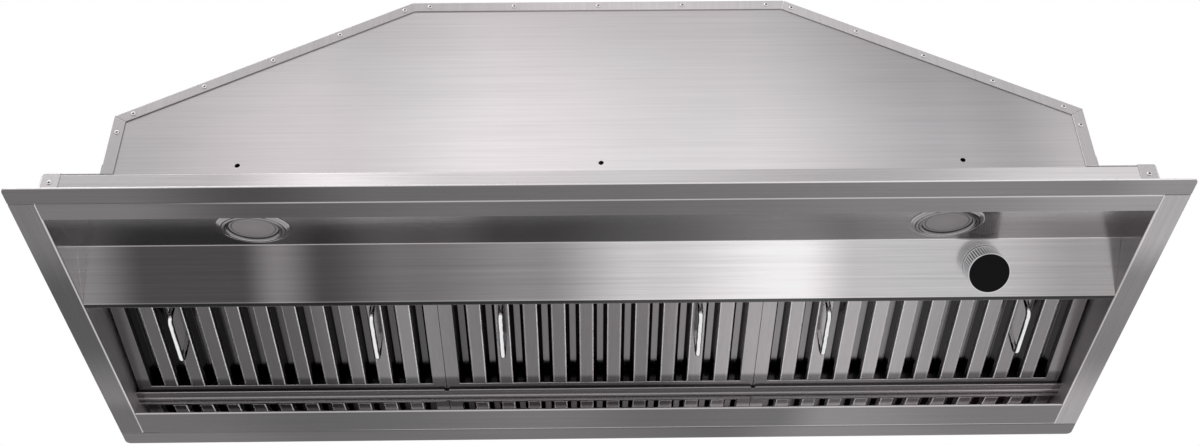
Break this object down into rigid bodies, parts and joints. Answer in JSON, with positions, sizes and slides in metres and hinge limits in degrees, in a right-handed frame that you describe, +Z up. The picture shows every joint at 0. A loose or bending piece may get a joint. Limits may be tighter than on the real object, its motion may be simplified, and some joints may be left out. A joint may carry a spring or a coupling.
{
  "type": "range hood insert",
  "caption": "Stainless range hood insert with a trim flange, sloping housing, baffle filters, recessed lamps, speed knob, blower and damped duct collar.",
  "frame": {"origin": "centre of the trim flange on its lower face, which is the plane of the cabinet's cut-out", "axes": "+X across the width to the side that carries the knob, +Y towards the rear wall, +Z up into the cabinet"},
  "size_m": [1.18, 0.5024, 0.3538],
  "materials": {
    "trim_steel": "brushed along the width, trim of the lower box",
    "lip_steel": "brushed along the width",
    "panel_steel": "finely brushed, nearly a mirror",
    "housing_steel": "brushed along the width",
    "filter_steel": "bright, brushed along the slots",
    "baffle_steel": "bright, brushed along the slots",
    "handle_chrome": "polished",
    "knob_metal": "turned and fluted",
    "knob_black": "satin black",
    "lamp_metal": "turned rings",
    "lamp_lens": "frosted",
    "lamp_can": "cast",
    "galvanised": "zinc coated sheet",
    "motor_shell": "black enamel",
    "wheel_metal": "pressed",
    "shaft_steel": "ground",
    "damper_metal": "rolled",
    "driver_plastic": "white",
    "switch_plastic": "black",
    "nut_brass": "turned"
  },
  "bodies": {
    "hood": {"front_wall": "trim_steel", "rear_wall": "trim_steel", "side_wall_left": "trim_steel", "side_wall_right": "trim_steel", "shoulder_left": "housing_steel", "shoulder_right": "housing_steel", "front_lip": "lip_steel", "rear_lip": "lip_steel", "rear_ledge": "lip_steel", "lamp_control_panel": "panel_steel", "filter_front_rail": "lip_steel", "lamp_left_bezel": "lamp_metal", "lamp_left_lens": "lamp_lens", "lamp_left_can": "lamp_can", "lamp_right_bezel": "lamp_metal", "lamp_right_lens": "lamp_lens", "lamp_right_can": "lamp_can", "speed_switch": "switch_plastic", "switch_nut": "nut_brass", "hood_side_left": "housing_steel", "hood_side_right": "housing_steel", "hood_slope_left": "housing_steel", "hood_slope_right": "housing_steel", "hood_top": "housing_steel", "hood_front_panel": "housing_steel", "hood_rear_panel": "housing_steel", "blower_scroll": "galvanised", "blower_side_left": "galvanised", "blower_side_right": "galvanised", "blower_motor": "motor_shell", "motor_spider": "galvanised", "duct_collar": "galvanised", "damper_rod": "shaft_steel", "junction_box": "galvanised", "junction_box_lid": "galvanised", "lamp_driver": "driver_plastic"},
    "filter_left": {"filter_left_frame": "filter_steel", "filter_left_lower_baffles": "filter_steel", "filter_left_upper_baffles": "baffle_steel", "filter_left_handle_left": "handle_chrome", "filter_left_handle_right": "handle_chrome"},
    "filter_centre": {"filter_centre_frame": "filter_steel", "filter_centre_lower_baffles": "filter_steel", "filter_centre_upper_baffles": "baffle_steel", "filter_centre_handle_left": "handle_chrome", "filter_centre_handle_right": "handle_chrome"},
    "filter_right": {"filter_right_frame": "filter_steel", "filter_right_lower_baffles": "filter_steel", "filter_right_upper_baffles": "baffle_steel", "filter_right_handle_left": "handle_chrome", "filter_right_handle_right": "handle_chrome"},
    "knob": {"knob_grip": "knob_metal", "knob_cap": "knob_black", "knob_spindle": "shaft_steel"},
    "blower_rotor": {"blower_wheel": "wheel_metal", "motor_shaft": "shaft_steel"},
    "flap_front": {"damper_flap_front": "damper_metal"},
    "flap_rear": {"damper_flap_rear": "damper_metal"}
  },
  "joints": [
    {"name": "filter_left_slide", "type": "slide", "parent": "hood", "child": "filter_left", "axis": [0, -0.9946, 0.1034], "range_m": [0, 0.014]},
    {"name": "filter_centre_slide", "type": "slide", "parent": "hood", "child": "filter_centre", "axis": [0, -0.9946, 0.1034], "range_m": [0, 0.014]},
    {"name": "filter_right_slide", "type": "slide", "parent": "hood", "child": "filter_right", "axis": [0, -0.9946, 0.1034], "range_m": [0, 0.014]},
    {"name": "knob_turn", "type": "hinge", "parent": "hood", "child": "knob", "pos_m": [0.415, -0.08058, 0.0213], "axis": [0, 0.5671, 0.8236], "range_deg": [0, 270]},
    {"name": "rotor_spin", "type": "hinge", "parent": "hood", "child": "blower_rotor", "pos_m": [0, -0.0755, 0.1872], "axis": [1, 0, 0], "continuous": true},
    {"name": "flap_front_swing", "type": "hinge", "parent": "hood", "child": "flap_front", "pos_m": [0, 0, 0.303], "axis": [-1, 0, 0], "range_deg": [0, 80]},
    {"name": "flap_rear_swing", "type": "hinge", "parent": "hood", "child": "flap_rear", "pos_m": [0, 0, 0.303], "axis": [1, 0, 0], "range_deg": [0, 80]}
  ]
}
